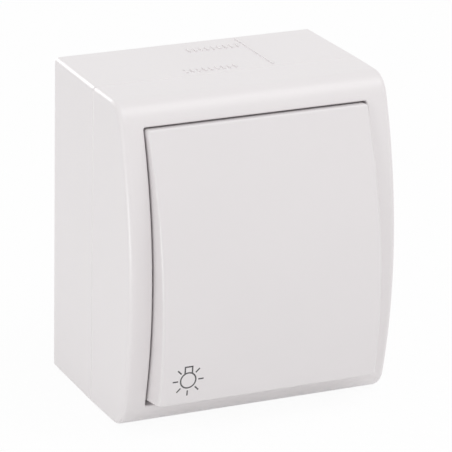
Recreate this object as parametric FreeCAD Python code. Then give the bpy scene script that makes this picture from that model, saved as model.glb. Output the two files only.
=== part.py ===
"""Surface mounted push switch with a large rocker, built from its separate pieces.

Lengths are in millimetres and angles in degrees.
X runs to the right, Y runs into the wall and Z runs up.
The origin is the centre of the back face, so a depth out of the wall is a negative Y.
"""

import math
import os

import FreeCAD, Part

# Casing
box_width = 65.0
box_height = 75.0
seam_depth = 23.5
cover_depth = 45.3
cover_front_radius = 115.9
cover_front_drop = 4.6
cover_corner_radius = 6.2
edge_radius = 1.1
side_draft = 0.53
height_draft = 0.05
seam_round = 0.4
wall = 2.0
back_wall = 2.2

# Length by which a cut runs past the face that it opens
cut_margin = 1.0

# Rims of the cover around the key
side_rim = 5.4
top_rim = 5.4
bottom_rim = 5.4
opening_corner_radius = 0.5
opening_edge_radius = 0.35
well_wall = 1.3
tray_thickness = 2.0

# Key
key_tilt = 7.1
key_side_gap = 0.4
key_end_gap = 0.2
key_end_setback = 0.6
key_front_radius = 97.9
key_skirt = 10.45
key_floor_gap = 1.7
pivot_setback = 7.55
key_end_draft = 1.7
key_wall = 1.8
key_edge_radius = 0.6
key_rib_thickness = 1.2
key_rib_height = 3.0
key_rib_offset = 18.0
clip_thickness = 1.5
clip_width = 16.0
clip_bump = 0.4
clip_bump_height = 1.4
clip_end_gap = 1.0

# Lamp symbol inlaid in the key
symbol_side = 6.6
symbol_end = 5.75
symbol_radius = 1.83
symbol_line = 0.34
symbol_cap_width = 2.1
symbol_cap_height = 1.95
symbol_ray_length = 1.3
symbol_ray_start = 0.6
symbol_inlay = 0.3

# Seal between back box and cover
ledge_width = 1.8
ledge_thickness = 1.5
seal_width = 1.4
seal_height = 1.5
skirt_length = 2.5
skirt_thickness = 1.3
skirt_clearance = 0.15

# Raised marks on the top of the back box
mark_height = 0.25
mark_width = 0.4
rib_x = 12.0
rib_margin = 1.4
tick_count = 9
tick_pitch = 1.5
tick_length = 2.2
rear_ticks_margin = 6.2
front_ticks_margin = 3.0
rear_ticks_start = -2.0
front_ticks_start = -9.0

# Wall fixing slots
slot_edge_distance = 8.0
slot_length = 8.0
slot_radius = 2.3

# Cover screws
cover_screw_side = 6.05
cover_screw_end = 7.9
screw_radius = 1.5
screw_head_radius = 2.8
screw_head_height = 1.8
screw_slot_width = 0.8
screw_slot_depth = 0.8
screw_clearance = 0.05
screw_post_radius = 3.5
cover_screw_length = 14.0
boss_length = 3.5
boss_floor = 2.4
boss_wall = 1.4
head_clearance = 0.35
screw_seal_thickness = 0.8

# Cable entry and knock-outs
entry_radius = 5.0
entry_recess_radius = 6.1
entry_recess = 0.9
grommet_clearance = 0.1
grommet_flange = 1.0
grommet_wall = 0.9
grommet_cone = 4.0
knockout_groove = 0.8
knockout_skin = 0.7

# Switch mechanism
mech_width = 27.0
mech_height = 40.0
mech_wall = 1.5
pedestal = 2.0
base_thickness = 2.0
mech_front = 22.0
lug_length = 7.0
lug_height = 8.0
lug_drop = 12.0
lug_thickness = 2.6
mech_screw_length = 7.0
neck_width = 22.0
neck_height = 20.0
neck_wall = 1.4
neck_setback = 3.0
ear_radius = 3.2
stem_slot_width = 7.0
stem_slot_height = 8.8
partition_offset = 10.6
partition_thickness = 1.0
neck_seal_thickness = 1.2
neck_seal_height = 4.0
neck_seal_step = 0.6
neck_seal_clearance = 0.05
collar_height = 5.0
collar_wall = 1.2

# Lever that carries the key
lever_side_clearance = 0.4
trunnion_radius = 1.5
trunnion_length = 1.6
running_clearance = 0.05
lever_head_rise = 7.0
lever_head_half = 5.0
lever_head_drop = 1.8
clip_clearance = 0.1
wing_thickness = 1.6
wing_half_length = 8.2
wing_half_width = 4.0
wing_drop = 2.4
stem_radius = 2.6
stem_gap = 0.8
bore_radius = 1.6
bore_end_drop = 1.5

# Plunger and springs
plunger_radius = 1.5
plunger_tip_radius = 1.2
plunger_tip_length = 2.6
plunger_length = 7.6
plunger_gap = 0.08
plunger_spring_wire = 0.35
plunger_spring_turns = 8
return_spring_wire = 0.4
return_spring_radius = 1.3
return_spring_turns = 7
return_spring_drop = 6.4
spring_gap = 0.06

# Contacts and terminals
contact_pivot_depth = 15.0
contact_tilt = 9.0
contact_width = 8.0
contact_half_length = 8.0
contact_thickness = 1.2
contact_drop = 0.37
contact_clearance = 0.03
groove_flank = 57.0
cradle_half_length = 3.3
cradle_rise = 0.85
cradle_width = 5.0
tip_arm = 6.5
tip_radius = 1.5
tip_plate = 0.3
tip_crown = 0.4
fixed_tip_thickness = 0.6
tip_clearance = 0.08
strip_thickness = 1.0
strip_width = 4.6
knife_width = 6.0
knife_thickness = 1.4
knife_crest_radius = 0.3
knife_flank = 40.0
riser_offset = 9.0
tongue_depth = 9.3
tongue_end = 18.0
clamp_width = 7.0
clamp_height = 5.4
clamp_offset = 12.5
clamp_back_wall = 1.2
clamp_front_wall = 1.8
clamp_window_depth = 4.5
clamp_window_width = 5.0
terminal_screw_radius = 1.4
terminal_head_radius = 2.4
terminal_head_height = 1.8
terminal_screw_reach = 1.7
driver_hole_clearance = 0.5
wire_hole_radius = 1.9
stop_clearance = 0.1

# Sizes worked out from the ones above
half_width = box_width / 2
half_height = box_height / 2
opening_half_width = half_width - side_rim
opening_top = half_height - top_rim
opening_bottom = -half_height + bottom_rim
opening_half_height = (opening_top - opening_bottom) / 2
key_centre = (opening_top + opening_bottom) / 2
key_end_depth = cover_depth - key_end_setback
key_rear_depth = key_end_depth - key_skirt
pivot_depth = key_end_depth - pivot_setback
key_half_width = opening_half_width - key_side_gap
tilt_sine = math.sin(math.radians(key_tilt))
tilt_cosine = math.cos(math.radians(key_tilt))
key_half_height = (
    opening_half_height - key_end_gap - (key_end_depth - pivot_depth) * tilt_sine
) / tilt_cosine
key_bulge = key_front_radius - math.sqrt(key_front_radius ** 2 - key_half_height ** 2)
key_mid_depth = key_end_depth + key_bulge
key_rear_half_height = key_half_height + key_skirt * math.tan(math.radians(key_end_draft))
key_lowest_depth = (
    pivot_depth + (key_rear_depth - pivot_depth) * tilt_cosine - key_rear_half_height * tilt_sine
)
symbol_x = -key_half_width + symbol_side
symbol_z = key_centre - key_half_height + symbol_end
tray_depth = key_lowest_depth - key_floor_gap
tray_back = tray_depth - tray_thickness
post_depth = tray_back - boss_length
cover_screw_x = opening_half_width - cover_screw_side
cover_screw_z = opening_half_height - cover_screw_end
slot_x = half_width - slot_edge_distance
seal_depth = seam_depth - skirt_length - seal_height
entry_depth = (back_wall + seal_depth - ledge_thickness) / 2
mech_half_width = mech_width / 2
mech_half_height = mech_height / 2
back_knockout_rise = (key_centre + mech_half_height + half_height - wall) / 2
base_depth = back_wall + pedestal
chamber_depth = base_depth + base_thickness
mech_front_back = mech_front - mech_wall
neck_depth = pivot_depth - neck_setback
neck_half_width = neck_width / 2
neck_half_height = neck_height / 2
neck_inner_half_width = neck_half_width - neck_wall
lug_x = mech_half_width + lug_length / 2
lever_half_width = neck_inner_half_width - lever_side_clearance
lever_head_top = pivot_depth + lever_head_rise
lever_head_bottom = pivot_depth - lever_head_drop
wing_depth = pivot_depth - wing_drop
stem_end_depth = mech_front + stem_gap
bore_top_depth = pivot_depth - bore_end_drop
contact_ratio = contact_tilt / key_tilt
contact_front = contact_thickness - contact_drop
groove_radius = knife_crest_radius + contact_clearance
groove_angle = math.radians(groove_flank)
groove_half_width = groove_radius / math.cos(groove_angle) + contact_drop * math.tan(groove_angle)
tip_centre_rise = contact_front + plunger_tip_radius + plunger_gap
plunger_reach = pivot_depth - contact_pivot_depth - tip_centre_rise
clamp_depth = tongue_depth - running_clearance - clamp_back_wall
clamp_front = tongue_depth - running_clearance + clamp_window_depth + clamp_front_wall
clamp_screw_z = clamp_offset + clamp_height / 2


def place(x, depth, z):
    """Point at a depth out of the wall."""
    return FreeCAD.Vector(x, -depth, z)


def block(x_low, x_high, rear, front, z_low, z_high):
    """Box between two sides, two depths and two heights."""
    size = (x_high - x_low, front - rear, z_high - z_low)
    return Part.makeBox(*size, place(x_low, front, z_low))


def rod(x, z, radius, rear, front):
    """Cylinder along the depth."""
    return Part.makeCylinder(radius, front - rear, place(x, rear, z), FreeCAD.Vector(0, -1, 0))


def cross_rod(radius, x_low, x_high, depth, z):
    """Cylinder across the width."""
    return Part.makeCylinder(radius, x_high - x_low, place(x_low, depth, z), FreeCAD.Vector(1, 0, 0))


def upright_rod(radius, x, depth, z_low, z_high):
    """Cylinder along the height."""
    return Part.makeCylinder(radius, z_high - z_low, place(x, depth, z_low), FreeCAD.Vector(0, 0, 1))


def join(shapes):
    """One solid out of touching or overlapping shapes."""
    return shapes[0].multiFuse(shapes[1:]).removeSplitter()


def cross_prism(section, x_low, x_high):
    """Side section, given as (z, depth) points, drawn out across the width."""
    points = [place(x_low, depth, z) for z, depth in section]
    face = Part.Face(Part.makePolygon(points + points[:1]))
    return face.extrude(FreeCAD.Vector(x_high - x_low, 0, 0))


def rounded_block(half_x, half_z, radius, rear, front, centre_z=0.0):
    """Box about the vertical centre line with its four depth edges rounded."""
    box = block(-half_x, half_x, rear, front, centre_z - half_z, centre_z + half_z)
    edges = [edge for edge in box.Edges if abs(edge.BoundBox.YLength - (front - rear)) < 1e-6]
    return box.makeFillet(radius, edges)


def edges_where(shape, test):
    """Edges of a shape whose bounding box passes a test."""
    return [edge for edge in shape.Edges if test(edge.BoundBox)]


def arc(start, middle, end):
    """Edge along the circle through three points."""
    return Part.Arc(start, middle, end).toShape()


def front_curve(z, middle_depth, radius):
    """Depth of a front that is round from top to bottom, at a height from its crown."""
    return middle_depth - radius + math.sqrt(radius ** 2 - z ** 2)


def cover_block(inset, rear):
    """Cover's outer form, or the same form inset on every side."""
    top = half_height - inset
    middle = cover_depth - inset
    radius = cover_front_radius - inset
    corner = cover_corner_radius - inset
    centre_z = top - corner
    x_low = -half_width + inset

    def corner_points(sign):
        rise = centre_z + sign * cover_front_drop
        centre_depth = middle - radius + math.sqrt((radius - corner) ** 2 - rise ** 2)
        lean = math.asin(rise / (radius - corner))
        points = []
        for angle in (math.pi / 2, (math.pi / 2 + lean) / 2, lean):
            z = sign * (centre_z + corner * math.sin(angle))
            points.append(place(x_low, centre_depth + corner * math.cos(angle), z))
        return points

    crown = place(x_low, middle, -cover_front_drop)
    rear_top = place(x_low, rear, top)
    rear_bottom = place(x_low, rear, -top)
    upper = corner_points(1)
    lower = corner_points(-1)
    outline = Part.Wire([
        Part.LineSegment(rear_top, upper[0]).toShape(),
        arc(*upper),
        arc(upper[2], crown, lower[2]),
        arc(*reversed(lower)),
        Part.LineSegment(lower[0], rear_bottom).toShape(),
        Part.LineSegment(rear_bottom, rear_top).toShape(),
    ])
    return Part.Face(outline).extrude(FreeCAD.Vector(-2 * x_low, 0, 0))


def box_half_width(depth):
    """Half of the back box's width at a depth, which grows towards the seam."""
    return half_width - side_draft * (1 - depth / seam_depth)


def box_half_height(depth):
    """Half of the back box's height at a depth, which grows towards the seam."""
    return half_height - height_draft * (1 - depth / seam_depth)


def back_block(inset, rear, front):
    """Back box's outer form, slightly smaller at the wall, or the same form inset."""
    front_x = box_half_width(front) - inset
    front_z = box_half_height(front) - inset
    rear_x = box_half_width(rear) - inset
    rear_z = box_half_height(rear) - inset
    return Part.makeWedge(
        -front_x, -front, -front_z, -rear_z, -rear_x, front_x, -rear, front_z, rear_z, rear_x,
    )


def key_block(inset, rear):
    """Key's outer form level with the wall, or the same form inset on every side."""
    end_z = key_half_height - inset
    middle = key_mid_depth - inset
    radius = key_front_radius - inset
    end_depth = front_curve(end_z, middle, radius)
    rear_z = end_z + (end_depth - rear) * math.tan(math.radians(key_end_draft))
    x_low = -key_half_width + inset
    crown = place(x_low, middle, key_centre)
    upper = place(x_low, end_depth, key_centre + end_z)
    lower = place(x_low, end_depth, key_centre - end_z)
    rear_upper = place(x_low, rear, key_centre + rear_z)
    rear_lower = place(x_low, rear, key_centre - rear_z)
    outline = Part.Wire([
        arc(upper, crown, lower),
        Part.LineSegment(lower, rear_lower).toShape(),
        Part.LineSegment(rear_lower, rear_upper).toShape(),
        Part.LineSegment(rear_upper, upper).toShape(),
    ])
    return Part.Face(outline).extrude(FreeCAD.Vector(-2 * x_low, 0, 0))


def tilted_with_key(shape):
    """Move from level to the rest position, with the key's lower end out."""
    turned = shape.copy()
    turned.rotate(place(0, pivot_depth, key_centre), FreeCAD.Vector(1, 0, 0), -key_tilt)
    return turned


def tilted_with_contact(shape):
    """Move from level to the rest position, with the contact's upper end out."""
    turned = shape.copy()
    pivot = place(0, contact_pivot_depth, key_centre)
    turned.rotate(pivot, FreeCAD.Vector(1, 0, 0), contact_tilt)
    return turned


def coil(mean_radius, wire, turns, x, z, rear, front):
    """Round wire wound along the depth between two seats."""
    height = front - rear - wire
    helix = Part.makeHelix(height / turns, height, mean_radius)
    start = FreeCAD.Vector(mean_radius, 0, 0)
    section = Part.Wire([Part.Circle(start, FreeCAD.Vector(0, 1, 0), wire / 2).toShape()])
    spring = Part.Wire(helix.Edges).makePipeShell([section], True, True)
    spring.rotate(FreeCAD.Vector(0, 0, 0), FreeCAD.Vector(1, 0, 0), 90)
    spring.translate(place(x, rear + wire / 2, z))
    return spring


def screw(x, z, radius, head_radius, head_height, head_rear, tip_depth):
    """Slotted cheese head screw that points at the wall."""
    head_front = head_rear + head_height
    shank = rod(x, z, radius, tip_depth, head_rear)
    head = rod(x, z, head_radius, head_rear, head_front)
    crown = edges_where(head, lambda box: box.YMax < -head_front + 1e-6)
    head = head.makeFillet(head_height / 4, crown)
    slot = block(
        x - head_radius, x + head_radius, head_front - screw_slot_depth, head_front,
        z - screw_slot_width / 2, z + screw_slot_width / 2,
    )
    return join([shank, head.cut(slot)])


def cover_screw_places():
    """Centres of the two cover screws, one on each side of the key's middle."""
    return [
        (-cover_screw_x, key_centre + cover_screw_z),
        (cover_screw_x, key_centre - cover_screw_z),
    ]


def mechanism_screw_places():
    """Centres of the two screws through the mechanism's lugs."""
    return [(-lug_x, key_centre + lug_drop), (lug_x, key_centre - lug_drop)]


def raised_marks():
    """Rib and two rows of gauge ticks on the top of the back box."""
    sunk = half_height - wall / 2
    top = half_height + wall
    marks = [block(
        rib_x - mark_width / 2, rib_x + mark_width / 2,
        rib_margin, seam_depth - rib_margin, sunk, top,
    )]
    rows = (
        (rear_ticks_margin, rear_ticks_start),
        (seam_depth - front_ticks_margin, front_ticks_start),
    )
    for depth, start in rows:
        for index in range(tick_count):
            left = start + index * tick_pitch
            marks.append(block(
                left, left + mark_width,
                depth - tick_length / 2, depth + tick_length / 2, sunk, top,
            ))
    skin = back_block(-mark_height, 0, seam_depth)
    return [mark.common(skin) for mark in marks]


def knockout_cut():
    """Tube that thins a wall along a circle as wide as the cable entry, from the origin along Z."""
    outer = Part.makeCylinder(entry_radius + knockout_groove, wall + back_wall)
    return outer.cut(Part.makeCylinder(entry_radius, wall + back_wall))


def make_back_box():
    """Rear half of the casing, which is screwed to the wall."""
    outer = back_block(0, 0, seam_depth)
    long_edges = edges_where(outer, lambda box: box.YLength > seam_depth / 2)
    outer = outer.makeFillet(edge_radius, long_edges)
    rim = edges_where(outer, lambda box: box.YMax < -seam_depth + 1e-6)
    outer = outer.makeFillet(seam_round, rim)
    shell = outer.cut(back_block(wall, back_wall, seam_depth + cut_margin))

    ledge = back_block(wall / 2, seal_depth - ledge_thickness, seal_depth)
    ledge = ledge.cut(back_block(wall + ledge_width, back_wall, seam_depth))
    solids = [shell, ledge] + raised_marks()
    cuts = []
    for x, z in cover_screw_places():
        solids.append(rod(x, z, screw_post_radius, back_wall / 2, post_depth))
        tip = post_depth + boss_floor + screw_seal_thickness - cover_screw_length
        cuts.append(rod(x, z, screw_radius + screw_clearance, tip - cut_margin, post_depth + cut_margin))
    for x, z in mechanism_screw_places():
        solids.append(rod(x, z, screw_post_radius, back_wall / 2, base_depth))
        cuts.append(rod(
            x, z, screw_radius + screw_clearance, back_wall - cut_margin, base_depth + cut_margin,
        ))
        solids.append(rod(-x, z, screw_post_radius, back_wall / 2, base_depth))
    for side in (-1, 1):
        cuts.append(wall_slot(side * slot_x))
    outside = -half_height - cut_margin
    entry_z = -box_half_height(entry_depth)
    cuts.append(upright_rod(entry_radius, 0, entry_depth, outside, entry_z + wall + cut_margin))
    cuts.append(upright_rod(entry_recess_radius, 0, entry_depth, outside, entry_z + entry_recess))
    top_groove = knockout_cut()
    top_groove.translate(place(0, entry_depth, -entry_z - knockout_skin - wall - back_wall))
    cuts.append(top_groove)
    back_groove = knockout_cut()
    back_groove.rotate(FreeCAD.Vector(0, 0, 0), FreeCAD.Vector(1, 0, 0), 90)
    back_groove.translate(place(0, knockout_skin, back_knockout_rise))
    cuts.append(back_groove)
    return join(solids).cut(cuts)


def wall_slot(x):
    """Slotted hole through the back for one wall screw."""
    half_run = slot_length / 2 - slot_radius
    rear = -cut_margin
    front = back_wall + cut_margin
    ends = [rod(x + side * half_run, 0, slot_radius, rear, front) for side in (-1, 1)]
    middle = block(x - half_run, x + half_run, rear, front, -slot_radius, slot_radius)
    return join(ends + [middle])


def make_front_cover():
    """Front half of the casing, with the well that the key sits in."""
    outer = cover_block(0, seam_depth)
    side_loops = edges_where(
        outer, lambda box: box.XLength < 1e-6 and not box.YMin > -seam_depth - 1e-6
    )
    outer = outer.makeFillet(edge_radius, side_loops)
    rim = edges_where(outer, lambda box: box.YMin > -seam_depth - 1e-6)
    outer = outer.makeFillet(seam_round, rim)
    shell = outer.cut(cover_block(wall, seam_depth - cut_margin))

    skirt_x = half_width - wall - skirt_clearance
    skirt_z = half_height - wall - skirt_clearance
    skirt_rear = seam_depth - skirt_length
    skirt = block(-skirt_x, skirt_x, skirt_rear, seam_depth + wall, -skirt_z, skirt_z)
    inner_x = skirt_x - skirt_thickness
    inner_z = skirt_z - skirt_thickness
    ledge = block(
        -half_width + wall / 2, half_width - wall / 2, seam_depth, seam_depth + wall,
        -half_height + wall / 2, half_height - wall / 2,
    )
    inside = block(
        -inner_x, inner_x, skirt_rear - cut_margin, seam_depth + wall + cut_margin, -inner_z, inner_z,
    )

    well = block(
        -opening_half_width - well_wall, opening_half_width + well_wall, tray_back, cover_depth,
        opening_bottom - well_wall, opening_top + well_wall,
    ).common(outer)
    window_x = neck_half_width + neck_seal_thickness + 2 * neck_seal_clearance
    window_z = neck_half_height + neck_seal_thickness + 2 * neck_seal_clearance
    tray_middle = (tray_depth + tray_back) / 2
    collar = block(
        -window_x - collar_wall, window_x + collar_wall, tray_depth - collar_height, tray_middle,
        key_centre - window_z - collar_wall, key_centre + window_z + collar_wall,
    )
    opening = rounded_block(
        opening_half_width, opening_half_height, opening_corner_radius,
        tray_depth, cover_depth + cut_margin, key_centre,
    )
    cuts = [opening, block(
        -window_x, window_x, tray_depth - collar_height - cut_margin, tray_depth + cut_margin,
        key_centre - window_z, key_centre + window_z,
    )]
    bosses = []
    head_radius = screw_head_radius + head_clearance
    for x, z in cover_screw_places():
        bosses.append(rod(x, z, head_radius + boss_wall, post_depth, tray_middle))
        cuts.append(rod(x, z, screw_radius + head_clearance, post_depth - cut_margin, tray_depth))
        cuts.append(rod(x, z, head_radius, post_depth + boss_floor, tray_depth + cut_margin))
    frame = join([skirt, ledge]).cut(inside)
    cover = join([shell, frame, well, collar] + bosses).cut(cuts)

    corner_rise = half_height - cover_corner_radius + cover_front_drop
    lowest_rim = front_curve(corner_rise, cover_depth, cover_front_radius)

    def on_rim(box):
        across = box.XMin > -opening_half_width - 1e-4 and box.XMax < opening_half_width + 1e-4
        along = box.ZMin > opening_bottom - 1e-4 and box.ZMax < opening_top + 1e-4
        return across and along and box.YMax < -(tray_depth + lowest_rim) / 2

    return cover.makeFillet(opening_edge_radius, edges_where(cover, on_rim))


def make_cover_seal():
    """Rubber cord between the back box's ledge and the cover's skirt."""
    outer_x = box_half_width(seal_depth) - wall - skirt_clearance
    outer_z = box_half_height(seal_depth) - wall - skirt_clearance
    ring = rounded_block(outer_x, outer_z, seal_width, seal_depth, seal_depth + seal_height)
    inner = rounded_block(
        outer_x - seal_width, outer_z - seal_width, seal_width,
        seal_depth - cut_margin, seal_depth + seal_height + cut_margin,
    )
    return ring.cut(inner)


def make_cable_grommet():
    """Rubber entry with a cone that is cut to suit the cable."""
    entry_z = -box_half_height(entry_depth)
    outside = entry_z + grommet_clearance
    step = entry_z + entry_recess
    inside = -box_half_height(entry_depth - entry_recess_radius) + wall
    neck = entry_radius - grommet_clearance
    flange = entry_recess_radius - grommet_clearance
    cone_top = inside + grommet_cone
    mouth = neck - grommet_wall
    section = [
        (mouth, outside), (flange, outside), (flange, step), (neck, step), (neck, inside),
        (flange, inside), (flange, inside + grommet_flange), (mouth, inside + grommet_flange),
        (mouth / 2, cone_top), (0, cone_top), (0, cone_top - grommet_wall),
        (mouth / 2 - grommet_wall / 2, cone_top - grommet_wall), (mouth - grommet_wall, inside),
    ]
    points = [FreeCAD.Vector(r, 0, z) for r, z in section]
    face = Part.Face(Part.makePolygon(points + points[:1]))
    grommet = face.revolve(FreeCAD.Vector(0, 0, 0), FreeCAD.Vector(0, 0, 1), 360)
    grommet.translate(place(0, entry_depth, 0))
    return grommet


def make_cover_screws():
    """Two screws that hold the cover to the posts of the back box."""
    head_rear = post_depth + boss_floor + screw_seal_thickness
    tip = head_rear - cover_screw_length
    return Part.makeCompound([
        screw(x, z, screw_radius, screw_head_radius, screw_head_height, head_rear, tip)
        for x, z in cover_screw_places()
    ])


def make_cover_screw_seals():
    """Rubber washer under each cover screw's head."""
    rear = post_depth + boss_floor
    front = rear + screw_seal_thickness
    return Part.makeCompound([
        rod(x, z, screw_head_radius, rear, front).cut(
            rod(x, z, screw_radius + screw_clearance, rear - cut_margin, front + cut_margin))
        for x, z in cover_screw_places()
    ])


def key_blank():
    """Key as a block with all its outer edges rounded."""
    blank = key_block(0, key_rear_depth)
    edges = edges_where(blank, lambda box: box.YMin < -key_rear_depth - 1e-6)
    return blank.makeFillet(key_edge_radius, edges)


def clip_groove(side, clearance):
    """Groove across the lever's head, or the clip's bump when the clearance is zero."""
    face = key_centre + side * lever_head_half
    middle = (lever_head_top + lever_head_bottom) / 2
    half = clip_bump_height / 2 + clearance
    reach = clip_bump + clearance
    low, high = sorted((face - side * reach, face + side * (clip_clearance + clip_thickness / 2)))
    half_x = clip_width / 2 + clearance
    return block(-half_x, half_x, middle - half, middle + half, low, high)


def make_rocker():
    """Large key with clips for the lever and stiffening ribs inside."""
    blank = key_blank()
    shell = blank.cut(key_block(key_wall, key_rear_depth - cut_margin))
    ribs = []
    clip_rear = wing_depth + wing_thickness + clip_end_gap
    for side in (-1, 1):
        near = key_centre + side * (lever_head_half + clip_clearance)
        far = near + side * clip_thickness
        low, high = sorted((near, far))
        ribs.append(block(-clip_width / 2, clip_width / 2, clip_rear, key_mid_depth, low, high))
        ribs.append(clip_groove(side, 0))
        middle = key_centre + side * key_rib_offset
        ribs.append(block(
            -key_half_width, key_half_width, 0, key_mid_depth,
            middle - key_rib_thickness / 2, middle + key_rib_thickness / 2,
        ).cut(key_block(key_wall + key_rib_height, -cut_margin)))
    body = join([shell] + [rib.common(blank) for rib in ribs])
    return tilted_with_key(body.cut(symbol_prisms()))


def symbol_prisms():
    """Lamp with seven rays, drawn out along the depth, as separate pieces."""
    z = symbol_z
    rear = key_end_depth - cut_margin
    front = key_mid_depth + cut_margin
    half_line = symbol_line / 2
    outer = symbol_radius + half_line
    inner = symbol_radius - half_line
    half_cap = symbol_cap_width / 2
    shoulder = math.sqrt(symbol_radius ** 2 - half_cap ** 2)
    cap_top = z + shoulder + symbol_cap_height
    bulb = rod(symbol_x, z, outer, rear, front)
    cap = block(symbol_x - half_cap, symbol_x + half_cap, rear, front, z, cap_top)
    hole = block(
        symbol_x - half_cap + symbol_line, symbol_x + half_cap - symbol_line,
        rear, front, z, cap_top - symbol_line,
    ).cut(rod(symbol_x, z, outer, rear, front))
    lamp = join([bulb, cap]).cut([hole, rod(symbol_x, z, inner, rear, front)])
    start = symbol_radius + symbol_ray_start
    pieces = [lamp]
    for angle in (0, 45, 135, 180, 225, 270, 315):
        ray = block(start, start + symbol_ray_length, rear, front, -half_line, half_line)
        ray.rotate(FreeCAD.Vector(0, 0, 0), FreeCAD.Vector(0, -1, 0), angle)
        ray.translate(FreeCAD.Vector(symbol_x, 0, z))
        pieces.append(ray)
    layer = key_blank().cut(key_block(symbol_inlay, 0))
    return [piece.common(layer) for piece in pieces]


def make_lamp_symbol():
    """Dark inlay flush with the key's front."""
    solids = [solid for piece in symbol_prisms() for solid in piece.Solids]
    return tilted_with_key(Part.makeCompound(solids))


def make_actuator_lever():
    """Lever on two trunnions, which the key clips onto."""
    z = key_centre
    head = block(
        -lever_half_width, lever_half_width, lever_head_bottom, lever_head_top,
        z - lever_head_half, z + lever_head_half,
    )
    wing = block(
        -wing_half_width, wing_half_width, wing_depth, wing_depth + wing_thickness,
        z - wing_half_length, z + wing_half_length,
    )
    trunnions = cross_rod(
        trunnion_radius, -lever_half_width - trunnion_length, lever_half_width + trunnion_length,
        pivot_depth, z,
    )
    stem = rod(0, z, stem_radius, stem_end_depth, pivot_depth)
    cuts = [rod(0, z, bore_radius, stem_end_depth - cut_margin, bore_top_depth)]
    cuts += [clip_groove(side, clip_clearance) for side in (-1, 1)]
    return tilted_with_key(join([head, wing, trunnions, stem]).cut(cuts))


def plunger_top_depth():
    """Depth of the plunger's inner end before the lever tilts."""
    return pivot_depth - plunger_reach + plunger_tip_length - plunger_tip_radius + plunger_length


def make_plunger():
    """Sprung pin whose round tip rides in the moving contact's cradle."""
    tip_depth = pivot_depth - plunger_reach
    shoulder = plunger_top_depth() - plunger_length
    ball = Part.makeSphere(plunger_tip_radius, place(0, tip_depth, key_centre))
    nose = rod(0, key_centre, plunger_tip_radius, tip_depth, shoulder)
    body = rod(0, key_centre, plunger_radius, shoulder, plunger_top_depth())
    return tilted_with_key(join([ball, nose, body]))


def make_plunger_spring():
    """Coil inside the lever's bore that pushes the plunger out."""
    mean_radius = bore_radius - plunger_spring_wire / 2 - running_clearance
    return tilted_with_key(coil(
        mean_radius, plunger_spring_wire, plunger_spring_turns, 0, key_centre,
        plunger_top_depth() + spring_gap, bore_top_depth - spring_gap,
    ))


def make_return_spring():
    """Coil that pushes the key's lower end out."""
    arm = return_spring_drop - return_spring_radius - return_spring_wire / 2
    wing_rear = pivot_depth - (pivot_depth - wing_depth) * tilt_cosine + arm * tilt_sine
    return coil(
        return_spring_radius, return_spring_wire, return_spring_turns, 0,
        key_centre - return_spring_drop, mech_front + spring_gap, wing_rear - spring_gap,
    )


def make_neck_seal():
    """Rubber collar between the mechanism's neck and the cover."""
    inner_x = neck_half_width + neck_seal_clearance
    inner_z = neck_half_height + neck_seal_clearance
    outer_x = inner_x + neck_seal_thickness
    outer_z = inner_z + neck_seal_thickness
    front = tray_depth - neck_seal_step
    rear = front - neck_seal_height
    ring = block(-outer_x, outer_x, rear, front, key_centre - outer_z, key_centre + outer_z)
    return ring.cut(block(
        -inner_x, inner_x, rear - cut_margin, front + cut_margin, key_centre - inner_z, key_centre + inner_z,
    ))


def lug_blocks(rear, front):
    """Screw lugs on both sides of the mechanism between two depths."""
    lugs = []
    for x, z in mechanism_screw_places():
        low, high = sorted((0, math.copysign(mech_half_width + lug_length, x)))
        lugs.append(block(low, high, rear, front, z - lug_height / 2, z + lug_height / 2))
    return lugs


def contact_stop_depth():
    """Depth of the ledge that the contact's lower end rests on."""
    swing = math.radians(contact_tilt)
    return (
        contact_pivot_depth - contact_half_length * math.sin(swing)
        - contact_drop * math.cos(swing) - stop_clearance
    )


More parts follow.
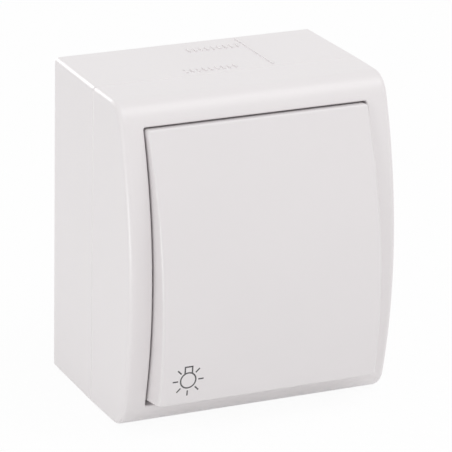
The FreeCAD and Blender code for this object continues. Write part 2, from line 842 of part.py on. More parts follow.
def make_mechanism_housing():
    """Moulded body of the mechanism, with its neck, ears and chambers."""
    z = key_centre
    body = block(
        -mech_half_width, mech_half_width, chamber_depth, mech_front,
        z - mech_half_height, z + mech_half_height,
    )
    lugs = lug_blocks(chamber_depth, chamber_depth + lug_thickness)
    neck = block(
        -neck_half_width, neck_half_width, mech_front_back, neck_depth,
        z - neck_half_height, z + neck_half_height,
    )
    ears = []
    bores = []
    for side in (-1, 1):
        low, high = sorted((side * neck_inner_half_width, side * neck_half_width))
        ears.append(block(low, high, neck_depth - cut_margin, pivot_depth, z - ear_radius, z + ear_radius))
        ears.append(cross_rod(ear_radius, low, high, pivot_depth, z))
        bores.append(cross_rod(
            trunnion_radius + running_clearance, low - cut_margin, high + cut_margin, pivot_depth, z,
        ))

    chamber_x = mech_half_width - mech_wall
    chamber_z = mech_half_height - mech_wall
    chamber = block(
        -chamber_x, chamber_x, chamber_depth - cut_margin, mech_front_back, z - chamber_z, z + chamber_z,
    )
    neck_bore = block(
        -neck_inner_half_width, neck_inner_half_width, mech_front, neck_depth + cut_margin,
        z - neck_half_height + neck_wall, z + neck_half_height - neck_wall,
    )
    stem_slot = block(
        -stem_slot_width / 2, stem_slot_width / 2, mech_front_back - cut_margin, mech_front + cut_margin,
        z - stem_slot_height / 2, z + stem_slot_height / 2,
    )
    cuts = [chamber, neck_bore, stem_slot]
    driver_radius = terminal_head_radius + driver_hole_clearance
    wire_depth = (tongue_depth + strip_thickness + clamp_front - clamp_front_wall) / 2
    inner_walls = []
    for side in (-1, 1):
        cuts.append(rod(
            0, z + side * clamp_screw_z, driver_radius, mech_front_back - cut_margin, mech_front + cut_margin,
        ))
        low, high = sorted((z + side * (chamber_z - cut_margin), z + side * (mech_half_height + cut_margin)))
        cuts.append(upright_rod(wire_hole_radius, 0, wire_depth, low, high))
        near = z + side * partition_offset
        low, high = sorted((near, near + side * partition_thickness))
        partition = block(
            -mech_half_width + mech_wall / 2, mech_half_width - mech_wall / 2,
            chamber_depth, mech_front - mech_wall / 2, low, high,
        )
        passage = strip_width / 2 + clip_clearance
        inner_walls.append(partition.cut(block(
            -passage, passage, chamber_depth - cut_margin, tongue_depth + strip_thickness + clip_clearance,
            low - cut_margin, high + cut_margin,
        )))
        low, high = sorted((side * passage, side * (mech_half_width - mech_wall / 2)))
        stop_z = z - contact_half_length
        inner_walls.append(block(
            low, high, chamber_depth, contact_stop_depth(), stop_z, stop_z + 2 * mech_wall,
        ))
    for x, screw_z in mechanism_screw_places():
        cuts.append(rod(x, screw_z, screw_radius + head_clearance, chamber_depth - cut_margin, mech_front))
    shell = join([body] + lugs + [neck] + ears).cut(cuts + bores)
    return join([shell] + inner_walls)


def make_mechanism_base():
    """Plate that closes the mechanism's back and seats the terminals."""
    z = key_centre
    plate = block(
        -mech_half_width, mech_half_width, base_depth, chamber_depth,
        z - mech_half_height, z + mech_half_height,
    )
    solids = [plate] + lug_blocks(base_depth, chamber_depth)
    for side in (-1, 1):
        low, high = sorted((z + side * clamp_offset, z + side * (clamp_offset + clamp_height)))
        solids.append(block(-clamp_width / 2, clamp_width / 2, base_depth, clamp_depth, low, high))
    cuts = [
        rod(x, screw_z, screw_radius + head_clearance, base_depth - cut_margin, chamber_depth + cut_margin)
        for x, screw_z in mechanism_screw_places()
    ]
    return join(solids).cut(cuts)


def make_mechanism_screws():
    """Two screws that hold the mechanism to the back box."""
    head_rear = chamber_depth + lug_thickness
    tip = head_rear - mech_screw_length
    return Part.makeCompound([
        screw(x, z, screw_radius, screw_head_radius, screw_head_height, head_rear, tip)
        for x, z in mechanism_screw_places()
    ])


def cradle_radius():
    """Radius of the hollow that follows the plunger's tip as both pieces turn."""
    curvature = plunger_reach * (contact_ratio + 0.5) - tip_centre_rise * contact_ratio ** 2 / 2
    travel = plunger_reach - tip_centre_rise * contact_ratio
    return travel ** 2 / (2 * curvature) + plunger_tip_radius + plunger_gap


def crest_bar(radius, flank, half_z, rear, half_x):
    """Bar with a round crest on the contact's pivot, whose flanks slant until they are half_z out."""
    angle = math.radians(flank)
    pivot = contact_pivot_depth
    near_z = radius * math.cos(angle)
    near_depth = pivot + radius * math.sin(angle)
    shoulder = pivot + (radius - half_z * math.cos(angle)) / math.sin(angle)

    def corner(z, depth):
        return place(-half_x, depth, key_centre + z)

    corners = [
        corner(near_z, near_depth), corner(half_z, shoulder), corner(half_z, rear),
        corner(-half_z, rear), corner(-half_z, shoulder), corner(-near_z, near_depth),
    ]
    sides = [Part.LineSegment(start, end).toShape() for start, end in zip(corners, corners[1:])]
    crest = arc(corners[-1], corner(0, pivot + radius), corners[0])
    return Part.Face(Part.Wire(sides + [crest])).extrude(FreeCAD.Vector(2 * half_x, 0, 0))


def make_moving_contact():
    """See-saw on the knife edge, with a cradle for the plunger."""
    z = key_centre
    pivot = contact_pivot_depth
    back = pivot - contact_drop
    front = pivot + contact_front
    plate = block(
        -contact_width / 2, contact_width / 2, back, front,
        z - contact_half_length, z + contact_half_length,
    )
    cradle = block(
        -cradle_width / 2, cradle_width / 2, back, front + cradle_rise,
        z - cradle_half_length, z + cradle_half_length,
    )
    radius = cradle_radius()
    hollow = cross_rod(radius, -contact_width, contact_width, front + radius, z)
    groove = crest_bar(groove_radius, groove_flank, groove_half_width, back - cut_margin, contact_width)
    return tilted_with_contact(join([plate, cradle]).cut([hollow, groove]))


def make_moving_contact_tip():
    """Silver rivet with a domed face, on the back of the see-saw's upper arm."""
    face = contact_pivot_depth - contact_drop
    z = key_centre + tip_arm
    dome_radius = (tip_radius ** 2 + tip_crown ** 2) / (2 * tip_crown)
    crown = face - tip_plate - tip_crown
    dome = Part.makeSphere(dome_radius, place(0, crown + dome_radius, z))
    blank = rod(0, z, tip_radius, crown - cut_margin, face)
    return tilted_with_contact(blank.common(dome))


def fixed_tip_front():
    """Depth that the moving tip's dome reaches when the key is pressed."""
    swing = math.radians(contact_tilt)
    dome_radius = (tip_radius ** 2 + tip_crown ** 2) / (2 * tip_crown)
    dome_centre = dome_radius - contact_drop - tip_plate - tip_crown
    lowest = contact_pivot_depth - tip_arm * math.sin(swing) + dome_centre * math.cos(swing) - dome_radius
    return lowest - tip_clearance


def tongue_section(side):
    """Side section of the riser and the tongue that runs into a clamp."""
    z = key_centre
    near = z + side * riser_offset
    far = near + side * strip_thickness
    end = z + side * tongue_end
    front = tongue_depth + strip_thickness
    return [
        (near, chamber_depth), (near, front), (end, front), (end, tongue_depth),
        (far, tongue_depth), (far, chamber_depth),
    ]


def make_fixed_contact():
    """Brass strip from the upper clamp to a table under the moving tip."""
    z = key_centre
    half = strip_width / 2
    table_front = fixed_tip_front() - fixed_tip_thickness
    tongue = cross_prism(tongue_section(1), -half, half)
    riser_far = z + riser_offset + strip_thickness
    riser = block(-half, half, chamber_depth, table_front, z + riser_offset, riser_far)
    table = block(
        -half, half, table_front - strip_thickness, table_front,
        z + tip_arm - tip_radius - strip_thickness, riser_far,
    )
    return join([tongue, riser, table])


def make_fixed_contact_tip():
    """Flat silver rivet on the fixed contact's table."""
    front = fixed_tip_front()
    return rod(0, key_centre + tip_arm, tip_radius, front - fixed_tip_thickness, front)


def make_common_terminal():
    """Brass strip from the lower clamp to the knife edge under the see-saw."""
    z = key_centre
    half = strip_width / 2
    tongue = cross_prism(tongue_section(-1), -half, half)
    foot = block(
        -half, half, chamber_depth, chamber_depth + strip_thickness,
        z - riser_offset - strip_thickness, z + knife_thickness,
    )
    knife = crest_bar(
        knife_crest_radius, knife_flank, knife_thickness / 2, chamber_depth, knife_width / 2,
    )
    return join([tongue, foot, knife])


def make_terminal_clamps():
    """Two brass cages that grip the wires against the tongues."""
    cages = []
    window_rear = clamp_depth + clamp_back_wall
    for side in (-1, 1):
        low, high = sorted(
            (key_centre + side * clamp_offset, key_centre + side * (clamp_offset + clamp_height))
        )
        cage = block(-clamp_width / 2, clamp_width / 2, clamp_depth, clamp_front, low, high)
        window = block(
            -clamp_window_width / 2, clamp_window_width / 2,
            window_rear, window_rear + clamp_window_depth, low - cut_margin, high + cut_margin,
        )
        thread = rod(
            0, (low + high) / 2, terminal_screw_radius + screw_clearance,
            window_rear + cut_margin, clamp_front + cut_margin,
        )
        cages.append(cage.cut([window, thread]))
    return Part.makeCompound(cages)


def make_terminal_screws():
    """Two screws in the front walls of the cages."""
    tip = clamp_front - clamp_front_wall - terminal_screw_reach
    return Part.makeCompound([
        screw(
            0, key_centre + side * clamp_screw_z, terminal_screw_radius, terminal_head_radius,
            terminal_head_height, clamp_front + screw_clearance, tip,
        )
        for side in (-1, 1)
    ])


pieces = {
    "back_box": make_back_box,
    "front_cover": make_front_cover,
    "cover_seal": make_cover_seal,
    "cable_grommet": make_cable_grommet,
    "cover_screws": make_cover_screws,
    "cover_screw_seals": make_cover_screw_seals,
    "rocker": make_rocker,
    "lamp_symbol": make_lamp_symbol,
    "actuator_lever": make_actuator_lever,
    "plunger": make_plunger,
    "plunger_spring": make_plunger_spring,
    "return_spring": make_return_spring,
    "neck_seal": make_neck_seal,
    "mechanism_housing": make_mechanism_housing,
    "mechanism_base": make_mechanism_base,
    "mechanism_screws": make_mechanism_screws,
    "moving_contact": make_moving_contact,
    "moving_contact_tip": make_moving_contact_tip,
    "fixed_contact": make_fixed_contact,
    "fixed_contact_tip": make_fixed_contact_tip,
    "common_terminal": make_common_terminal,
    "terminal_clamps": make_terminal_clamps,
    "terminal_screws": make_terminal_screws,
}

os.makedirs("parts", exist_ok=True)
for name, make in pieces.items():
    shape = make()
    shape.exportStep(f"parts/{name}.step")
    state = "valid" if shape.isValid() else "INVALID"
    print(name, len(shape.Solids), "solids", round(shape.Volume, 2), "mm3", state)
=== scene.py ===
"""Looks of a surface mounted push switch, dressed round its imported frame."""

import math

import bpy
from mathutils import Matrix, Vector


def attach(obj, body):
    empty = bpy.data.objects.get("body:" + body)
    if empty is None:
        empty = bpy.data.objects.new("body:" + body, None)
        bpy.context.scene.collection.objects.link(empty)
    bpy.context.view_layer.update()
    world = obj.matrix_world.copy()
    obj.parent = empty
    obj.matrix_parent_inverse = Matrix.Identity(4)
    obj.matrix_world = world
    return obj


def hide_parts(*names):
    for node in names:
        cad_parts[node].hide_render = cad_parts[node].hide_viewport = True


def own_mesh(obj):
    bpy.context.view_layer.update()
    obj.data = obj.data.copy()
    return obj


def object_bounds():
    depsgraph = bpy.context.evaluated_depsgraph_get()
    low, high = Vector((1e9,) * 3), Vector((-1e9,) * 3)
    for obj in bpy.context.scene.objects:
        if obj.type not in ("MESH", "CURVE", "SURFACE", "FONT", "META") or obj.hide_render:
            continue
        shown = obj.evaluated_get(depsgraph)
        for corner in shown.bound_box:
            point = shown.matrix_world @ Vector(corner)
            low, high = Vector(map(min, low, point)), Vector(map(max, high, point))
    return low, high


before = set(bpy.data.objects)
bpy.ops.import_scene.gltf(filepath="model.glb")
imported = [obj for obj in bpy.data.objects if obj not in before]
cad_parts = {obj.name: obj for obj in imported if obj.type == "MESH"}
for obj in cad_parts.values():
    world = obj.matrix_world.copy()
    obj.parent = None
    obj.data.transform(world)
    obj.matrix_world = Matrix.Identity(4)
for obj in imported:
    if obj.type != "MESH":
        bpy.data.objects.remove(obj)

bl_info = {
    "name": "Surface mounted push switch",
    "version": (1, 0, 0),
    "blender": (4, 5, 0),
    "location": "View3D > Sidebar > Switch",
    "description": "Finishes every piece of a surface mounted push switch and lights it in a studio",
    "category": "Object",
}

CAD_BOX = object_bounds()
MILLIMETRE = 0.001
FLOOR_SIDE = 6.0
FLOOR_GAP = 0.05 * MILLIMETRE
WELD_DISTANCE = 0.001 * MILLIMETRE
IMAGE_SIDE = 452
SENSOR_WIDTH = 36.0
CAMERA_REACH = 20.0
WHITE = (1.0, 1.0, 1.0, 1.0)
ALONG_THE_SCREW = (1.0, 6.0, 1.0)
ALONG_THE_STRIP = (1.0, 1.0, 0.15)
ALONG_THE_WIRE = (3.0, 3.0, 3.0)
EVEN = (1.0, 1.0, 1.0)


class Channel:
    """Output of a node that plain arithmetic can be done on."""

    def __init__(self, finish, socket):
        self.finish = finish
        self.socket = socket

    def math(self, operation, first, second):
        return self.finish.node("ShaderNodeMath", {"operation": operation}, {0: first, 1: second})

    def __add__(self, other):
        return self.math("ADD", self, other)

    def __radd__(self, other):
        return self.math("ADD", other, self)

    def __mul__(self, other):
        return self.math("MULTIPLY", self, other)

    def __rmul__(self, other):
        return self.math("MULTIPLY", other, self)


class Finish:
    """Nodes of a material or of the world, with patterns that follow the piece's own coordinates."""

    def __init__(self, owner):
        owner.use_nodes = True
        self.owner = owner
        self.tree = owner.node_tree
        self.tree.nodes.clear()

    def node(self, kind, settings=None, inputs=None, output=0):
        """Adds a node: its settings first, then the values or links of its sockets."""
        node = self.tree.nodes.new(kind)
        for key, value in (settings or {}).items():
            setattr(node, key, value)
        for key, value in (inputs or {}).items():
            if isinstance(value, Channel):
                self.tree.links.new(value.socket, node.inputs[key])
            else:
                node.inputs[key].default_value = value
        return Channel(self, node.outputs[output])

    def points(self, stretch):
        """Object coordinates, stretched along the axes."""
        place = self.node("ShaderNodeTexCoord", output="Object")
        return self.node("ShaderNodeMapping", {}, {"Vector": place, "Scale": stretch})

    def noise(self, per_metre, detail, stretch=EVEN):
        """Soft noise with a number of waves to the metre."""
        inputs = {"Vector": self.points(stretch), "Scale": per_metre, "Detail": detail}
        return self.node("ShaderNodeTexNoise", {}, inputs)

    def blend(self, factor, first, second):
        """Colour between two colours."""
        settings = {"data_type": "RGBA"}
        inputs = {0: factor, 6: (*first, 1.0), 7: (*second, 1.0)}
        return self.node("ShaderNodeMix", settings, inputs, output=2)

    def bump(self, height, depth):
        """Normal of a surface that a pattern roughens, to a depth in metres."""
        return self.node("ShaderNodeBump", {}, {"Height": height, "Distance": depth, "Strength": 1.0})

    def surface(self, **sockets):
        """Ends the material in a Principled shader."""
        inputs = {key.replace("_", " "): value for key, value in sockets.items()}
        return self.close(self.node("ShaderNodeBsdfPrincipled", {}, inputs))

    def close(self, shader, output="ShaderNodeOutputMaterial"):
        """Leads a shader to the output."""
        end = self.tree.nodes.new(output)
        self.tree.links.new(shader.socket, end.inputs["Surface"])
        return self.owner


def shade(color, factor):
    """Colour made darker or lighter by a factor."""
    return tuple(channel * factor for channel in color)


def glossy_moulding(name, color, roughness):
    """Glossy injection moulding: a faint waviness and a fine grain in its polish."""
    finish = Finish(bpy.data.materials.new(name))
    drift = finish.noise(per_metre=38.0, detail=2.0)
    grain = finish.noise(per_metre=2600.0, detail=3.0)
    wave = finish.noise(per_metre=70.0, detail=1.0)
    return finish.surface(
        Base_Color=finish.blend(drift, shade(color, 0.985), shade(color, 1.012)),
        Roughness=roughness - 0.04 + 0.05 * drift + 0.03 * grain,
        Normal=finish.bump(wave + grain * 0.05, depth=0.03 * MILLIMETRE),
    )


def matte_moulding(name, color, roughness):
    """Moulding with a fine spark-eroded texture."""
    finish = Finish(bpy.data.materials.new(name))
    drift = finish.noise(per_metre=60.0, detail=2.0)
    grain = finish.noise(per_metre=1900.0, detail=4.0)
    return finish.surface(
        Base_Color=finish.blend(grain, shade(color, 0.9), shade(color, 1.08)),
        Roughness=roughness - 0.08 + 0.1 * drift + 0.08 * grain,
        Normal=finish.bump(grain, depth=0.04 * MILLIMETRE),
    )


def soft_rubber(name, color):
    """Rubber with a dull bloom in patches."""
    finish = Finish(bpy.data.materials.new(name))
    bloom = finish.noise(per_metre=150.0, detail=4.0)
    grain = finish.noise(per_metre=2400.0, detail=3.0)
    return finish.surface(
        Base_Color=finish.blend(bloom, shade(color, 0.85), shade(color, 1.15)),
        Roughness=0.6 + 0.25 * bloom,
        Normal=finish.bump(grain, depth=0.05 * MILLIMETRE),
    )


def drawn_metal(name, color, roughness, stretch):
    """Metal with fine marks along the way it was drawn, rolled or turned."""
    finish = Finish(bpy.data.materials.new(name))
    marks = finish.noise(per_metre=900.0, detail=5.0, stretch=stretch)
    patches = finish.noise(per_metre=220.0, detail=3.0)
    return finish.surface(
        Base_Color=finish.blend(patches, shade(color, 0.88), shade(color, 1.06)),
        Metallic=1.0,
        Roughness=roughness - 0.1 + 0.16 * marks + 0.08 * patches,
        Normal=finish.bump(marks, depth=0.012 * MILLIMETRE),
    )


def inlay(name, color):
    """Dark moulded inlay, a little uneven in colour."""
    finish = Finish(bpy.data.materials.new(name))
    grain = finish.noise(per_metre=3200.0, detail=3.0)
    return finish.surface(
        Base_Color=finish.blend(grain, shade(color, 0.8), shade(color, 1.25)),
        Roughness=0.3 + 0.12 * grain,
        Normal=finish.bump(grain, depth=0.015 * MILLIMETRE),
    )


def dress(nodes, material):
    """Gives a finish to CAD nodes."""
    for name in nodes:
        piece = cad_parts[name]
        piece.data.materials.clear()
        piece.data.materials.append(material)


def coil(name, node, body, material):
    """Closed coil in the place of a spring's node, riding on a body."""
    bpy.ops.object.select_all(action="DESELECT")
    piece = bpy.data.objects.new(name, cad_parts[node].data.copy())
    bpy.context.scene.collection.objects.link(piece)
    bpy.context.view_layer.objects.active = piece
    piece.select_set(True)
    bpy.ops.object.mode_set(mode="EDIT")
    bpy.ops.mesh.select_all(action="SELECT")
    bpy.ops.mesh.remove_doubles(threshold=WELD_DISTANCE)
    bpy.ops.object.mode_set(mode="OBJECT")
    piece.data.materials.clear()
    piece.data.materials.append(material)
    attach(piece, body)
    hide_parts(node)
    return piece


class FinishSettings(bpy.types.PropertyGroup):
    """Colours and polish of the switch's pieces, and how far its springs shorten."""

    casing_color: bpy.props.FloatVectorProperty(
        name="Casing", description="Colour of the back box and the cover",
        subtype="COLOR", size=3, min=0.0, max=1.0, default=(0.85, 0.818, 0.824))
    key_color: bpy.props.FloatVectorProperty(
        name="Key", description="Colour of the key",
        subtype="COLOR", size=3, min=0.0, max=1.0, default=(0.825, 0.793, 0.8))
    symbol_color: bpy.props.FloatVectorProperty(
        name="Symbol", description="Colour of the lamp symbol",
        subtype="COLOR", size=3, min=0.0, max=1.0, default=(0.075, 0.073, 0.075))
    gloss_roughness: bpy.props.FloatProperty(
        name="Polish", description="Roughness of the glossy mouldings",
        subtype="FACTOR", min=0.05, max=0.8, default=0.32)
    mechanism_color: bpy.props.FloatVectorProperty(
        name="Mechanism", description="Colour of the mechanism's body",
        subtype="COLOR", size=3, min=0.0, max=1.0, default=(0.045, 0.047, 0.05))
    lever_color: bpy.props.FloatVectorProperty(
        name="Lever", description="Colour of the lever and the plunger",
        subtype="COLOR", size=3, min=0.0, max=1.0, default=(0.68, 0.66, 0.6))
    seal_color: bpy.props.FloatVectorProperty(
        name="Seals", description="Colour of the seals",
        subtype="COLOR", size=3, min=0.0, max=1.0, default=(0.03, 0.03, 0.031))
    entry_color: bpy.props.FloatVectorProperty(
        name="Cable entry", description="Colour of the cable entry",
        subtype="COLOR", size=3, min=0.0, max=1.0, default=(0.36, 0.355, 0.35))
    mechanism_roughness: bpy.props.FloatProperty(
        name="Mechanism roughness", description="Roughness of the mechanism's body",
        subtype="FACTOR", min=0.05, max=0.9, default=0.5)
    lever_roughness: bpy.props.FloatProperty(
        name="Lever roughness", description="Roughness of the lever and the plunger",
        subtype="FACTOR", min=0.05, max=0.9, default=0.42)
    screw_color: bpy.props.FloatVectorProperty(
        name="Screws", description="Colour of the screws' plating",
        subtype="COLOR", size=3, min=0.0, max=1.0, default=(0.62, 0.63, 0.62))
    screw_roughness: bpy.props.FloatProperty(
        name="Screw roughness", description="Roughness of the screws' plating",
        subtype="FACTOR", min=0.05, max=0.9, default=0.3)
    brass_color: bpy.props.FloatVectorProperty(
        name="Strips", description="Colour of the brass strips and clamps",
        subtype="COLOR", size=3, min=0.0, max=1.0, default=(0.72, 0.5, 0.2))
    wire_color: bpy.props.FloatVectorProperty(
        name="Springs", description="Colour of the springs' wire",
        subtype="COLOR", size=3, min=0.0, max=1.0, default=(0.5, 0.5, 0.5))
    strip_roughness: bpy.props.FloatProperty(
        name="Strip and wire roughness", description="Roughness of the strips and of the springs' wire",
        subtype="FACTOR", min=0.05, max=0.9, default=0.34)
    silver_color: bpy.props.FloatVectorProperty(
        name="Rivets", description="Colour of the silver contact rivets",
        subtype="COLOR", size=3, min=0.0, max=1.0, default=(0.8, 0.79, 0.76))
    rivet_roughness: bpy.props.FloatProperty(
        name="Rivet roughness", description="Roughness of the silver contact rivets",
        subtype="FACTOR", min=0.05, max=0.9, default=0.28)
    return_share: bpy.props.FloatProperty(
        name="Return spring pressed", description="Share of its length that the return spring keeps",
        subtype="FACTOR", min=0.1, max=1.0, default=0.85)
    plunger_share: bpy.props.FloatProperty(
        name="Plunger spring pressed", description="Share of its length that the plunger's spring keeps",
        subtype="FACTOR", min=0.1, max=1.0, default=0.93)


class StageSettings(bpy.types.PropertyGroup):
    """Camera and light of the studio."""

    camera_yaw: bpy.props.FloatProperty(
        name="Camera turn", description="How far the camera stands to the left of the front",
        subtype="ANGLE", default=math.radians(-24.847))
    camera_pitch: bpy.props.FloatProperty(
        name="Camera height", description="How far the camera looks down",
        subtype="ANGLE", default=math.radians(19.608))
    camera_roll: bpy.props.FloatProperty(
        name="Camera roll", description="How far the camera leans to one side",
        subtype="ANGLE", default=math.radians(1.127))
    camera_distance: bpy.props.FloatProperty(
        name="Camera distance", description="From the camera to the point it looks at",
        subtype="DISTANCE", unit="LENGTH", default=0.8473)
    camera_target: bpy.props.FloatVectorProperty(
        name="Camera target", description="Point that the camera looks at",
        subtype="XYZ", unit="LENGTH", size=3, default=(0.002022, -0.02, -0.000621))
    focal_pixels: bpy.props.FloatProperty(
        name="Focal length in pixels", description="Focal length over the side of one pixel of the image",
        min=100.0, default=3720.81)
    floor_whiteness: bpy.props.FloatProperty(
        name="Floor whiteness", description="Share of plain white in what is seen of the floor",
        subtype="FACTOR", min=0.0, max=1.0, default=0.94)
    ambient: bpy.props.FloatProperty(
        name="Ambient", description="Strength of the light from all round",
        min=0.0, max=2.0, default=0.75)
    above_place: bpy.props.FloatVectorProperty(
        name="Upper softbox", description="Place of the softbox above the front",
        subtype="XYZ", unit="LENGTH", size=3, default=(0.38, -0.33, 0.86))
    above_size: bpy.props.FloatProperty(
        name="Upper softbox side", description="Side of the softbox above the front",
        subtype="DISTANCE", unit="LENGTH", default=0.5)
    above_power: bpy.props.FloatProperty(
        name="Upper softbox power", description="Power of the softbox above the front",
        subtype="POWER", min=0.0, default=1.75)
    left_place: bpy.props.FloatVectorProperty(
        name="Left softbox", description="Place of the softbox at the left",
        subtype="XYZ", unit="LENGTH", size=3, default=(-1.15, -0.55, 0.3))
    left_size: bpy.props.FloatProperty(
        name="Left softbox side", description="Side of the softbox at the left",
        subtype="DISTANCE", unit="LENGTH", default=0.7)
    left_power: bpy.props.FloatProperty(
        name="Left softbox power", description="Power of the softbox at the left",
        subtype="POWER", min=0.0, default=1.7)
    behind_place: bpy.props.FloatVectorProperty(
        name="Rear panel", description="Place of the panel behind the switch, seen only in its gloss",
        subtype="XYZ", unit="LENGTH", size=3, default=(-0.4, 1.04, 0.46))
    behind_size: bpy.props.FloatProperty(
        name="Rear panel side", description="Side of the panel behind the switch",
        subtype="DISTANCE", unit="LENGTH", default=0.6)
    behind_power: bpy.props.FloatProperty(
        name="Rear panel power", description="Power of the panel behind the switch",
        subtype="POWER", min=0.0, default=4.4)
    beside_place: bpy.props.FloatVectorProperty(
        name="Side panel", description="Place of the low panel at the left, seen only in the switch's gloss",
        subtype="XYZ", unit="LENGTH", size=3, default=(-0.17, -0.1, -0.015))
    beside_size: bpy.props.FloatProperty(
        name="Side panel side", description="Side of the low panel at the left",
        subtype="DISTANCE", unit="LENGTH", default=0.045)
    beside_power: bpy.props.FloatProperty(
        name="Side panel power", description="Power of the low panel at the left",
        subtype="POWER", min=0.0, default=0.08)


class SWITCH_OT_casing(bpy.types.Operator):
    """Finishes the back box and the front cover"""

    bl_idname = "switch.casing"
    bl_label = "Casing"

    def execute(self, context):
        look = context.scene.switch_finish
        dress(["back_box", "front_cover"], glossy_moulding(
            "casing_moulding", tuple(look.casing_color), look.gloss_roughness))
        return {"FINISHED"}


class SWITCH_OT_key(bpy.types.Operator):
    """Finishes the key and its lamp symbol"""

    bl_idname = "switch.key"
    bl_label = "Key"

    def execute(self, context):
        look = context.scene.switch_finish
        dress(["rocker"], glossy_moulding("key_moulding", tuple(look.key_color), look.gloss_roughness))
        dress(["lamp_symbol"], inlay("symbol_inlay", tuple(look.symbol_color)))
        return {"FINISHED"}


class SWITCH_OT_seals(bpy.types.Operator):
    """Finishes the seals and the cable entry"""

    bl_idname = "switch.seals"
    bl_label = "Seals and cable entry"

    def execute(self, context):
        look = context.scene.switch_finish
        dress(["cover_seal", "cover_screw_seals", "neck_seal"], soft_rubber("seal_rubber", tuple(look.seal_color)))
        dress(["cable_grommet"], soft_rubber("entry_rubber", tuple(look.entry_color)))
        return {"FINISHED"}


class SWITCH_OT_mechanism(bpy.types.Operator):
    """Finishes the mechanism's mouldings"""

    bl_idname = "switch.mechanism"
    bl_label = "Mechanism"

    def execute(self, context):
        look = context.scene.switch_finish
        dress(["mechanism_housing", "mechanism_base"], matte_moulding(
            "mechanism_moulding", tuple(look.mechanism_color), look.mechanism_roughness))
        dress(["actuator_lever", "plunger"], matte_moulding(
            "lever_moulding", tuple(look.lever_color), look.lever_roughness))
        return {"FINISHED"}


class SWITCH_OT_metalwork(bpy.types.Operator):
    """Finishes the screws, strips and contacts"""

    bl_idname = "switch.metalwork"
    bl_label = "Metalwork"

    def execute(self, context):
        look = context.scene.switch_finish
        dress(["cover_screws", "mechanism_screws", "terminal_screws"], drawn_metal(
            "plated_steel", tuple(look.screw_color), look.screw_roughness, ALONG_THE_SCREW))
        dress(["moving_contact", "fixed_contact", "common_terminal", "terminal_clamps"], drawn_metal(
            "contact_brass", tuple(look.brass_color), look.strip_roughness, ALONG_THE_STRIP))
        dress(["moving_contact_tip", "fixed_contact_tip"], drawn_metal(
            "contact_silver", tuple(look.silver_color), look.rivet_roughness, EVEN))
        return {"FINISHED"}


class SWITCH_OT_springs(bpy.types.Operator):
    """Puts both springs in as welded coils, each riding on its body"""

    bl_idname = "switch.springs"
    bl_label = "Springs"

    def execute(self, context):
        look = context.scene.switch_finish
        wire = drawn_metal("spring_steel", tuple(look.wire_color), look.strip_roughness, ALONG_THE_WIRE)
        piece = coil("return_coil", "return_spring", "casing", wire)
        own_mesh(piece)
        piece = coil("plunger_coil", "plunger_spring", "key", wire)
        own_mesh(piece)
        return {"FINISHED"}


class SWITCH_OT_stage(bpy.types.Operator):
    """Sets up the floor, the lights, the background and the camera"""

    bl_idname = "switch.stage"
    bl_label = "Stage"

    def execute(self, context):
        studio = context.scene.switch_stage
        lay_floor(studio.floor_whiteness)
        hang_softbox("softbox_above", studio.above_place, studio.above_size, studio.above_power)
        hang_softbox("softbox_left", studio.left_place, studio.left_size, studio.left_power)
        hang_softbox("panel_behind", studio.behind_place, studio.behind_size, studio.behind_power, True)
        hang_softbox("panel_beside", studio.beside_place, studio.beside_size, studio.beside_power, True)
        fill_world(context.scene, studio.ambient)
        set_camera(context.scene, studio)
        context.scene.view_settings.view_transform = "Standard"
        return {"FINISHED"}


def white_to_the_eye(finish, lit, white, share):
    """Mixes a lit shader with a white one for rays that see the background."""
    rays = ("Is Camera Ray", "Is Glossy Ray", "Is Transmission Ray")
    camera, glossy, through = [finish.node("ShaderNodeLightPath", output=ray) for ray in rays]
    return finish.node("ShaderNodeMixShader", {}, {0: (camera + glossy + through) * share, 1: lit, 2: white})


def lay_floor(share):
    """Pale floor that the switch stands on."""
    bpy.ops.object.select_all(action="DESELECT")
    bpy.ops.mesh.primitive_plane_add(size=FLOOR_SIDE, location=(0.0, 0.0, CAD_BOX[0][2] - FLOOR_GAP))
    floor = bpy.context.object
    floor.name = "studio_floor"
    finish = Finish(bpy.data.materials.new("pale_floor"))
    mottle = finish.noise(per_metre=9.0, detail=3.0)
    lit = finish.node("ShaderNodeBsdfDiffuse", {}, {
        "Color": finish.blend(mottle, (0.95, 0.95, 0.95), (0.98, 0.98, 0.98))})
    white = finish.node("ShaderNodeEmission", {}, {"Color": WHITE, "Strength": 1.0})
    floor.data.materials.append(finish.close(white_to_the_eye(finish, lit, white, share)))


def hang_softbox(name, place, size, power, only_mirrored=False):
    """Square soft light that faces the switch, or a panel that only shows in its gloss."""
    data = bpy.data.lights.new(name, "AREA")
    data.shape = "SQUARE"
    data.size = size
    data.energy = power
    lamp = bpy.data.objects.new(name, data)
    lamp.location = place
    lamp.rotation_euler = (-Vector(place)).to_track_quat("-Z", "Y").to_euler()
    lamp.visible_diffuse = not only_mirrored
    bpy.context.scene.collection.objects.link(lamp)


def fill_world(scene, strength):
    """Even light from all round, white where the camera or a reflection sees it."""
    finish = Finish(bpy.data.worlds.new("studio_world"))
    lit = finish.node("ShaderNodeBackground", {}, {"Color": WHITE, "Strength": strength})
    white = finish.node("ShaderNodeBackground", {}, {"Color": WHITE, "Strength": 1.0})
    scene.world = finish.close(white_to_the_eye(finish, lit, white, 1.0), "ShaderNodeOutputWorld")


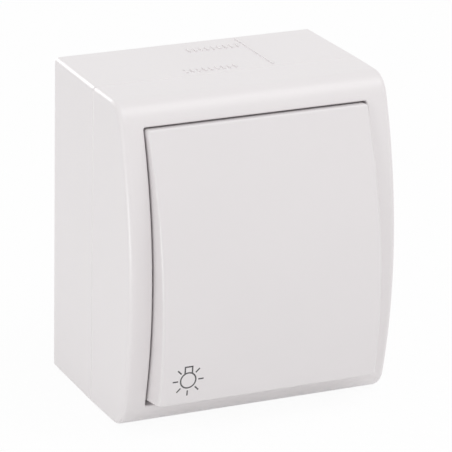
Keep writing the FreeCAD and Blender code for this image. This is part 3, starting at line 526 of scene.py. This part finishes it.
def set_camera(scene, studio):
    """Camera at the photograph's angle, with its small roll."""
    yaw, pitch, roll = studio.camera_yaw, studio.camera_pitch, studio.camera_roll
    back = Vector((
        math.sin(yaw) * math.cos(pitch), -math.cos(yaw) * math.cos(pitch), math.sin(pitch)))
    right = (-back).cross(Vector((0.0, 0.0, 1.0))).normalized()
    up = right.cross(-back)
    across = right * math.cos(roll) + up * math.sin(roll)
    upward = up * math.cos(roll) - right * math.sin(roll)
    turn = Matrix((across, upward, back)).transposed().to_4x4()
    place = Vector(studio.camera_target) + back * studio.camera_distance
    data = bpy.data.cameras.new("camera")
    data.sensor_width = SENSOR_WIDTH
    data.lens = studio.focal_pixels / IMAGE_SIDE * SENSOR_WIDTH
    data.clip_end = CAMERA_REACH
    camera = bpy.data.objects.new("camera", data)
    camera.matrix_world = Matrix.Translation(place) @ turn
    scene.collection.objects.link(camera)
    scene.camera = camera


class SWITCH_PT_panel(bpy.types.Panel):
    """Lists the switch's settings and its pieces"""

    bl_idname = "SWITCH_PT_panel"
    bl_label = "Surface mounted switch"
    bl_space_type = "VIEW_3D"
    bl_region_type = "UI"
    bl_category = "Switch"

    def draw(self, context):
        for group in (context.scene.switch_finish, context.scene.switch_stage):
            for name in group.bl_rna.properties.keys():
                if name not in ("rna_type", "name"):
                    self.layout.prop(group, name)
        for operator in OPERATORS:
            self.layout.operator(operator.bl_idname)


OPERATORS = (
    SWITCH_OT_casing,
    SWITCH_OT_key,
    SWITCH_OT_seals,
    SWITCH_OT_mechanism,
    SWITCH_OT_metalwork,
    SWITCH_OT_springs,
    SWITCH_OT_stage,
)
CLASSES = (FinishSettings, StageSettings, *OPERATORS, SWITCH_PT_panel)


def register():
    for cls in CLASSES:
        bpy.utils.register_class(cls)
    bpy.types.Scene.switch_finish = bpy.props.PointerProperty(type=FinishSettings)
    bpy.types.Scene.switch_stage = bpy.props.PointerProperty(type=StageSettings)


def unregister():
    del bpy.types.Scene.switch_stage
    del bpy.types.Scene.switch_finish
    for cls in reversed(CLASSES):
        bpy.utils.unregister_class(cls)


def main():
    register()
    bpy.ops.switch.casing()
    bpy.ops.switch.key()
    bpy.ops.switch.seals()
    bpy.ops.switch.mechanism()
    bpy.ops.switch.metalwork()
    bpy.ops.switch.springs()
    bpy.ops.switch.stage()


if __name__ == "__main__":
    main()
